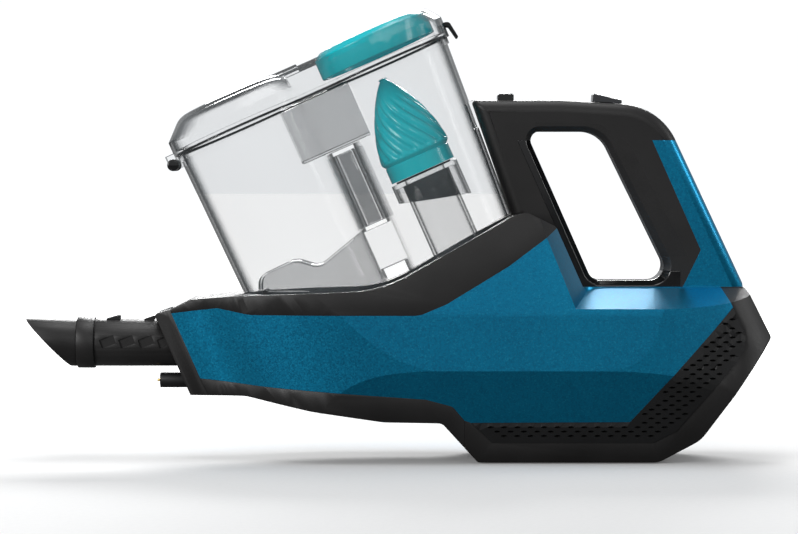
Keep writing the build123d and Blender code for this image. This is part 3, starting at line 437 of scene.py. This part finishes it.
def smooth(degrees=40.0):
    """Smooth shading that keeps edges sharper than the angle."""
    bpy.ops.object.shade_smooth_by_angle(angle=math.radians(degrees))


def thicken(thing, wall_mm, offset):
    """Gives an open skin its wall."""
    wall = thing.modifiers.new("wall", "SOLIDIFY")
    wall.thickness = wall_mm * MM
    wall.offset = offset
    bpy.ops.object.modifier_apply(modifier="wall")


def soften(thing, radius):
    """Merges a frame mesh's loose triangles, clears its flat faces and rounds its edges, as live modifiers."""
    weld = thing.modifiers.new("weld", "WELD")
    weld.merge_threshold = SAME_SPOT
    flat = thing.modifiers.new("flat", "DECIMATE")
    flat.decimate_type = "DISSOLVE"
    flat.angle_limit = math.radians(0.6)
    soft = thing.modifiers.new("edge", "BEVEL")
    soft.width = radius
    soft.segments = 2
    soft.limit_method = "ANGLE"
    soft.angle_limit = math.radians(32.0)
    soft.harden_normals = True


def settle(thing, name, body, finish, instead=()):
    """Names a finished piece, freezes its place into its mesh, and hangs it on its body."""
    bpy.ops.object.select_all(action="DESELECT")
    bpy.context.view_layer.objects.active = thing
    thing.select_set(True)
    bpy.ops.object.transform_apply(location=True, rotation=True, scale=True)
    thing.name = name
    thing.data.name = name
    coat(thing, finish)
    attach(thing, body)
    if instead:
        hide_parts(*instead)
    return thing


def lean_up(thing, u, v, y=0.0):
    """Stands a piece that was modelled about its own Z on the bucket's lean."""
    thing.location = place(u, v, y)
    thing.rotation_euler = (0.0, -LEAN, 0.0)


# ------------------------------------------------------------------ vortex cone
SHOULDER = 13.6         # top of the cone's band and shoulder, in millimetres above its foot
TIP = 68.5              # where the bullet nose would close
GROOVES = (14.5, 56.0)  # heights between which the grooves run


def nose_radius(height):
    """Radius of the cone's bullet nose at a height, in millimetres."""
    along = (height - SHOULDER) / (TIP - SHOULDER)
    return 24.5 * (1.0 - along ** 1.62) ** 0.80


def sink_grooves(cone, sizes):
    """Presses helical grooves into the nose, which fade out towards the tip."""
    pitch = 2 * math.pi / sizes.groove_count
    low, high = GROOVES
    for vertex in cone.data.vertices:
        height = vertex.co.z / MM
        if low < height < high:
            along = (height - low) / (high - low)
            angle = math.atan2(vertex.co.y, vertex.co.x) + sizes.groove_turn * along
            ridge = max(0.0, 1.0 - abs((angle / pitch) % 1.0 - 0.5) / 0.30) ** 0.7
            open_end = min(1.0, along / 0.05, (1.0 - along) / 0.35)
            radius = math.hypot(vertex.co.x, vertex.co.y)
            sunk = (radius - sizes.groove_depth * ridge * open_end) / radius
            vertex.co.x *= sunk
            vertex.co.y *= sunk


def louvre_cone(sizes):
    """Bullet-shaped vortex finder with long helical grooves between its band and its tip."""
    (u0, u1), (foot, _) = lean_box("vortex_cone")
    outline = [(23.0, 0.0), (23.0, 10.4), (22.4, 11.0), (24.1, 13.0), (24.4, SHOULDER)]
    outline += [(nose_radius(h), h) for h in [SHOULDER + 1.0 * i for i in range(1, 54)]]
    outline += [(3.2, 67.6), (1.6, 68.2)]
    bpy.ops.object.select_all(action="DESELECT")
    bpy.ops.mesh.primitive_circle_add(vertices=192, radius=outline[0][0] * MM, fill_type="NOTHING")
    cone = bpy.context.object
    bpy.ops.object.mode_set(mode="EDIT")
    bpy.ops.mesh.select_all(action="SELECT")
    for (r0, h0), (r1, h1) in zip(outline, outline[1:]):
        bpy.ops.mesh.extrude_region_move(TRANSFORM_OT_translate={"value": (0.0, 0.0, (h1 - h0) * MM)})
        bpy.ops.transform.resize(value=(r1 / r0, r1 / r0, 1.0), center_override=(0.0, 0.0, h1 * MM))
    bpy.ops.mesh.edge_face_add()
    end_edit()
    sink_grooves(cone, sizes)
    begin_edit(cone, chosen="SELECT")
    bpy.ops.mesh.remove_doubles(threshold=SAME_SPOT)
    bpy.ops.mesh.normals_make_consistent(inside=False)
    end_edit()
    thicken(cone, 1.4, -1.0)
    smooth(38.0)
    lean_up(cone, (u0 + u1) / 2, foot)
    settle(cone, "louvred_cone", "cone", "teal", ("vortex_cone",))


# ------------------------------------------------------------------ exhaust grilles
BAND_TOP = 28.5         # top of the band's front arm, in millimetres above the floor
GRID_START = (50.0, 16.0)
GRID_ROWS, GRID_COLUMNS = 32, 24
RIM = 0.9               # solid strip left between a hole and the panel's edge
LENS_SIDES = 8
PANEL_WALL = 2.4
PAD_BEHIND = 3.2        # how far the filter pad lies behind its grille
PROBES = ((0, 0), (2.6, 0), (-2.6, 0), (0, 1.9), (0, -1.9), (4.2, 1.9), (-4.2, -1.9))


def grille_band():
    """Side-view outline of the grille's band, in millimetres."""
    (left, _, low), (right, _, high) = (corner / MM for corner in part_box("exhaust_grille_left"))
    return [(left, BAND_TOP), (left + 14.3, low), (171.4, low), (186.7, low + 7.8), (right - 1.6, 75.1),
            (right, 85.6), (right - 8.5, high), (156.0, BAND_TOP)]


def inside(corners, x, z):
    """Whether a point is inside a closed outline."""
    crossed = False
    for (x0, z0), (x1, z1) in zip(corners, corners[1:] + corners[:1]):
        if (z0 > z) != (z1 > z) and x < (x1 - x0) * (z - z0) / (z1 - z0) + x0:
            crossed = not crossed
    return crossed


def clearance(corners, x, z):
    """Distance from a point to the nearest side of an outline."""
    spot = Vector((x, z))
    best = 1e9
    for first, second in zip(corners, corners[1:] + corners[:1]):
        start_at, run = Vector(first), Vector(second) - Vector(first)
        along = min(1.0, max(0.0, (spot - start_at).dot(run) / run.length_squared))
        best = min(best, (start_at + run * along - spot).length)
    return best


def skin_depths(node, spots):
    """How far out a node's outer skin is at each (x, z), read over its own small holes."""
    tree = BVHTree.FromObject(frame["nodes"][node], bpy.context.evaluated_depsgraph_get())
    sign = 1.0 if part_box(node)[1].y > 0.02 else -1.0
    depths = []
    for x, z in spots:
        reach = []
        for dx, dz in PROBES:
            hit = tree.ray_cast(Vector((x + dx, sign * 200.0, z + dz)) * MM, Vector((0.0, -sign, 0.0)))[0]
            if hit is not None:
                reach.append(abs(hit.y))
        depths.append(max(reach, default=None))
    known = [(spot, depth) for spot, depth in zip(spots, depths) if depth is not None]
    near = tree_of([spot for spot, _ in known])
    for index, (x, z) in enumerate(spots):
        if depths[index] is None:
            depths[index] = known[near.find((x, z, 0.0))[1]][1]
    return [sign * depth for depth in depths]


def tree_of(spots):
    """Search tree over flat points."""
    tree = KDTree(len(spots))
    for index, (x, z) in enumerate(spots):
        tree.insert((x, z, 0.0), index)
    tree.balance()
    return tree


def hole_centres(band, half_long, sizes):
    """Middles of the staggered holes that lie wholly inside the band."""
    centres = []
    for row in range(GRID_ROWS):
        for column in range(GRID_COLUMNS):
            x = GRID_START[0] + (column + 0.5 * (row % 2)) * sizes.hole_pitch / MM
            z = GRID_START[1] + row * sizes.row_pitch / MM
            if inside(band, x, z) and clearance(band, x, z) > half_long + RIM:
                centres.append((x, z))
    return centres


def band_ring(band):
    """The band's outline with a point about every 4 mm, so that the panel can follow the curved skin."""
    ring = []
    for (x0, z0), (x1, z1) in zip(band, band[1:] + band[:1]):
        steps = max(1, round(math.hypot(x1 - x0, z1 - z0) / 4.0))
        ring += [(x0 + (x1 - x0) * i / steps, z0 + (z1 - z0) * i / steps) for i in range(steps)]
    return ring


def lens_ring(x, z, half_long, half_tall):
    """Outline of one lens-shaped hole."""
    ring = []
    for i in range(LENS_SIDES):
        turn = 2 * math.pi * i / LENS_SIDES
        ring.append((x + half_long * math.cos(turn), z + half_tall * math.sin(turn) * abs(math.sin(turn)) ** 0.4))
    return ring


def without_holes(flat, faces, centres, half_long, half_tall):
    """The faces that lie outside every lens."""
    holes = tree_of(centres)
    kept = []
    for corners in faces:
        middle = sum((flat[i] for i in corners), Vector((0.0, 0.0))) / len(corners)
        (x, z, _), _, _ = holes.find((middle.x, middle.y, 0.0))
        off_x, off_z = abs(middle.x - x) / half_long, abs(middle.y - z) / half_tall
        if off_x >= 1.0 or off_z >= (1.0 - off_x ** 2) ** 0.8:
            kept.append(corners)
    return kept


def band_panel(node, name, sizes, pierced):
    """Thin panel on the outer skin of a grille's node, with or without its holes. Gives it and its first depth."""
    band = grille_band()
    half_long, half_tall = sizes.hole_length / MM / 2, sizes.hole_height / MM / 2
    centres = hole_centres(band, half_long, sizes) if pierced else []
    spots, sides = [], []
    for ring in [band_ring(band)] + [lens_ring(x, z, half_long, half_tall) for x, z in centres]:
        first = len(spots)
        spots += [Vector(p) for p in ring]
        sides += [(first + i, first + (i + 1) % len(ring)) for i in range(len(ring))]
    flat, _, faces, *_ = delaunay_2d_cdt(spots, sides, [], 1, 1e-5)
    kept = without_holes(flat, faces, centres, half_long, half_tall) if pierced else faces
    depths = skin_depths(node, [(p.x, p.y) for p in flat])
    mesh = bpy.data.meshes.new(name)
    mesh.from_pydata([(p.x * MM, y, p.y * MM) for p, y in zip(flat, depths)], [], kept)
    panel = bpy.data.objects.new(name, mesh)
    bpy.context.scene.collection.objects.link(panel)
    begin_edit(panel, chosen="SELECT")
    bpy.ops.mesh.delete_loose(use_verts=True, use_edges=True, use_faces=False)
    bpy.ops.mesh.select_all(action="SELECT")
    bpy.ops.mesh.normals_make_consistent(inside=False)
    end_edit()
    outward = sum(p.normal.y * p.area for p in panel.data.polygons) * depths[0]
    if outward < 0:
        begin_edit(panel, chosen="SELECT")
        bpy.ops.mesh.flip_normals()
        end_edit()
    thicken(panel, PANEL_WALL, -1.0)
    return panel, depths[0]


def filter_pad(node, name, sizes):
    """Foam filter pad that shows through the holes of the grille in front of it."""
    pad, depth = band_panel(node, name, sizes, False)
    pad.location = (0.0, -math.copysign(PAD_BEHIND * MM, depth), 0.0)
    settle(pad, name, "body", "foam", (node.replace("grille", "filter"),))


def lens_grille(node, name, sizes):
    """Exhaust grille: a thin panel pierced by staggered lens-shaped holes."""
    panel, _ = band_panel(node, name, sizes, True)
    settle(panel, name, "body", "dark_grey", (node,))


# ------------------------------------------------------------------ bucket fittings
def box_in_lean(name, u_span, v_span, y_span, body, finish, bevel=0.4):
    """Bevelled slab along the lean, from spans of u, v and y in millimetres."""
    bpy.ops.object.select_all(action="DESELECT")
    bpy.ops.mesh.primitive_cube_add(size=1.0)
    slab = bpy.context.object
    wide, tall, deep = (b - a for a, b in (u_span, v_span, y_span))
    begin_edit(slab, chosen="SELECT")
    bpy.ops.transform.resize(value=(wide * MM, deep * MM, tall * MM), center_override=(0.0, 0.0, 0.0))
    bpy.ops.mesh.bevel(offset=bevel * MM, segments=2)
    end_edit()
    smooth()
    lean_up(slab, sum(u_span) / 2, sum(v_span) / 2, sum(y_span) / 2)
    return settle(slab, name, body, finish)


WEB_U, WEB_V, WEB_Y = (47.8, 57.6), (152.6, 203.6), (23.6, 24.4)     # the neck between the chambers, on one side
HINGE_AT, HINGE_OUT = (-56.1, 243.0), 10.6                          # the lid's hinge pin, and a cap's middle
CAP_RADIUS, CAP_LENGTH = 4.0, 6.6


def web_panels():
    """Smoked strips inside the neck between the two chambers, one on each side."""
    for side, name in ((-1, "web_strip_left"), (1, "web_strip_right")):
        box_in_lean(name, WEB_U, WEB_V, sorted(side * y for y in WEB_Y), "bucket", "smoke", 0.2)


def hinge_caps():
    """Black caps over the lid hinge's ears, with a rounded end and a recess for the pin."""
    for side, name in ((-1, "hinge_cap_left"), (1, "hinge_cap_right")):
        bpy.ops.object.select_all(action="DESELECT")
        bpy.ops.mesh.primitive_cylinder_add(vertices=48, radius=CAP_RADIUS * MM, depth=CAP_LENGTH * MM,
                                            end_fill_type="NGON")
        cap = bpy.context.object
        begin_edit(cap, "FACE")
        pick(cap, "faces", lambda p: p.z > CAP_LENGTH / 2 - 0.1)
        bpy.ops.mesh.bevel(offset=0.9 * MM, segments=4)
        pick(cap, "faces", lambda p: p.z < 0.1 - CAP_LENGTH / 2)
        bpy.ops.mesh.inset(thickness=0.45 * MM)
        bpy.ops.mesh.extrude_region_move(TRANSFORM_OT_translate={"value": (0.0, 0.0, 5.8 * MM)})
        end_edit()
        smooth()
        cap.location = place(*HINGE_AT, side * HINGE_OUT)
        cap.rotation_euler = (math.radians(-90.0 * side), 0.0, 0.0)
        settle(cap, name, "bucket", "gloss_black")


def button_spring(radius):
    """The release button's coil, a copy of the frame's spring with soft edges; it keeps its length when the button
    goes down.
    """
    coil = bpy.data.objects.new("release_coil", frame["nodes"]["release_spring"].data.copy())
    bpy.context.scene.collection.objects.link(coil)
    soften(coil, radius)
    begin_edit(coil, chosen="SELECT")
    bpy.ops.mesh.remove_doubles(threshold=SAME_SPOT)
    end_edit()
    settle(coil, "release_coil", "body", "steel", ("release_spring",))
    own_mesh(coil)


# ------------------------------------------------------------------ stage
AIM = (0.0024, 0.0, 0.130)      # what the camera looks at
LIT = (0.0, 0.0, 0.12)          # what the softboxes point at
SENSOR = 36.0
SOFTBOXES = (                   # name, place, size, share of the key power
    ("top_softbox", (-0.2, 0.1, 1.9), (1.6, 0.8), 0.8),
    ("front_left_softbox", (-2.3, -1.9, 0.8), (1.3, 1.3), 2.6),
    ("front_strip", (0.5, -2.8, 1.6), (0.5, 1.2), 0.4),
    ("right_strip", (2.1, -0.3, 0.9), (0.4, 1.4), 0.5),
    ("back_softbox", (0.0, 1.7, 1.0), (1.2, 0.4), 1.8),
)


def build_floor():
    """A wide flat floor, open on all sides, so that no view is blocked."""
    bpy.ops.object.select_all(action="DESELECT")
    bpy.ops.mesh.primitive_circle_add(vertices=96, radius=18.0, fill_type="NGON")
    floor = bpy.context.object
    floor.name = "studio_floor"
    floor.data.name = "studio_floor"
    begin_edit(floor, "FACE", "SELECT")
    bpy.ops.mesh.inset(thickness=15.0)
    end_edit()
    coat(floor, "paper")


def light_stage(stage):
    """Softboxes round the vacuum, in a pale room."""
    for name, at, size, share in SOFTBOXES:
        bpy.ops.object.light_add(type="AREA", location=at)
        lamp = bpy.context.object
        lamp.name = name
        lamp.data.shape = "RECTANGLE"
        lamp.data.size, lamp.data.size_y = size
        lamp.data.energy = stage.key_power * share
        lamp.rotation_euler = (Vector(LIT) - Vector(at)).to_track_quat("-Z", "Y").to_euler()
    world = bpy.data.worlds.new("studio_world")
    bpy.context.scene.world = world
    world.use_nodes = True
    tree = world.node_tree
    sky = tree.nodes["Background"]
    sky.inputs["Color"].default_value = linear("#f6f8fa")
    seen = add(tree, "LightPath").outputs["Is Camera Ray"]
    strength = add(tree, "MapRange", i0=seen, i3=0.36, i4=1.1).outputs[0]
    tree.links.new(strength, sky.inputs["Strength"])
    bpy.context.scene.view_settings.view_transform = "Standard"


def set_camera(stage):
    """Camera square to the vacuum's side, looking slightly down."""
    bpy.ops.object.camera_add()
    camera = bpy.context.object
    camera.name = "camera_side"
    camera.data.sensor_width = SENSOR
    camera.data.lens = SENSOR * stage.distance / stage.frame_width
    away = Vector((0.0, -math.cos(stage.rise), math.sin(stage.rise)))
    camera.location = Vector(AIM) + away * stage.distance
    camera.rotation_euler = (-away).to_track_quat("-Z", "Y").to_euler()
    bpy.context.scene.camera = camera


# ------------------------------------------------------------------ frame nodes that show as they are
SWEPT_SKINS = ("side_shell_left", "side_shell_right")


def dress_node(name, radius):
    """Gives a CAD node its material and soft moulded edges. The long swept skins keep their own fine facets."""
    thing = frame["nodes"][name]
    coat(thing, "clear" if name == "vortex_skirt" else slot_of(name))
    if name not in SWEPT_SKINS:
        soften(thing, radius)


# ------------------------------------------------------------------ operators
class VACUUM_OT_finishes(bpy.types.Operator):
    """Mix the lacquer, the mouldings, the clear plastics and the metals"""
    bl_idname = "vacuum.finishes"
    bl_label = "Mix finishes"

    def execute(self, context):
        mix_finishes(context.scene.vacuum_finishes)
        return {"FINISHED"}


class VACUUM_OT_dress(bpy.types.Operator):
    """Give every frame part its finish and its moulded edges"""
    bl_idname = "vacuum.dress"
    bl_label = "Dress frame parts"

    def execute(self, context):
        for name in frame["nodes"]:
            dress_node(name, context.scene.vacuum_sizes.edge_radius)
        return {"FINISHED"}


class VACUUM_OT_cone(bpy.types.Operator):
    """Model the grooved vortex cone"""
    bl_idname = "vacuum.cone"
    bl_label = "Vortex cone"

    def execute(self, context):
        louvre_cone(context.scene.vacuum_sizes)
        return {"FINISHED"}


class VACUUM_OT_grilles(bpy.types.Operator):
    """Model both exhaust grilles with their lens-shaped holes, and the filter pads behind them"""
    bl_idname = "vacuum.grilles"
    bl_label = "Exhaust grilles"

    def execute(self, context):
        sizes = context.scene.vacuum_sizes
        # The pads come first, because they read the grilles' nodes, which the new grilles then hide.
        for make, title in ((filter_pad, "filter_pad_"), (lens_grille, "lens_grille_")):
            for side in ("left", "right"):
                make("exhaust_grille_" + side, title + side, sizes)
        return {"FINISHED"}


class VACUUM_OT_bucket_fittings(bpy.types.Operator):
    """Model the web strips, the hinge caps and the release button's coil"""
    bl_idname = "vacuum.bucket_fittings"
    bl_label = "Bucket fittings"

    def execute(self, context):
        web_panels()
        hinge_caps()
        button_spring(context.scene.vacuum_sizes.edge_radius)
        return {"FINISHED"}


class VACUUM_OT_stage(bpy.types.Operator):
    """Lay the floor, set the lights and place the camera"""
    bl_idname = "vacuum.stage"
    bl_label = "Studio stage"

    def execute(self, context):
        build_floor()
        light_stage(context.scene.vacuum_stage)
        set_camera(context.scene.vacuum_stage)
        return {"FINISHED"}


STEPS = (VACUUM_OT_finishes, VACUUM_OT_dress, VACUUM_OT_cone, VACUUM_OT_grilles, VACUUM_OT_bucket_fittings,
         VACUUM_OT_stage)


class VACUUM_PT_build(bpy.types.Panel):
    """Sizes, colours and building steps of the hand vacuum"""
    bl_idname = "VACUUM_PT_build"
    bl_label = "Hand vacuum"
    bl_space_type = "VIEW_3D"
    bl_region_type = "UI"
    bl_category = "Vacuum"

    def draw(self, context):
        for group in (context.scene.vacuum_finishes, context.scene.vacuum_sizes, context.scene.vacuum_stage):
            box = self.layout.box()
            for name in group.__annotations__:
                box.prop(group, name)
        for step in STEPS:
            self.layout.operator(step.bl_idname)


GROUPS = {"vacuum_finishes": VacuumFinishes, "vacuum_sizes": VacuumSizes, "vacuum_stage": VacuumStage}


def register():
    for kind in (*GROUPS.values(), *STEPS, VACUUM_PT_build):
        bpy.utils.register_class(kind)
    for name, kind in GROUPS.items():
        setattr(bpy.types.Scene, name, PointerProperty(type=kind))


def unregister():
    for name in GROUPS:
        delattr(bpy.types.Scene, name)
    for kind in reversed((*GROUPS.values(), *STEPS, VACUUM_PT_build)):
        bpy.utils.unregister_class(kind)


def main():
    register()
    for step in STEPS:
        group, name = step.bl_idname.split(".")
        getattr(getattr(bpy.ops, group), name)()


if __name__ == "__main__":
    main()
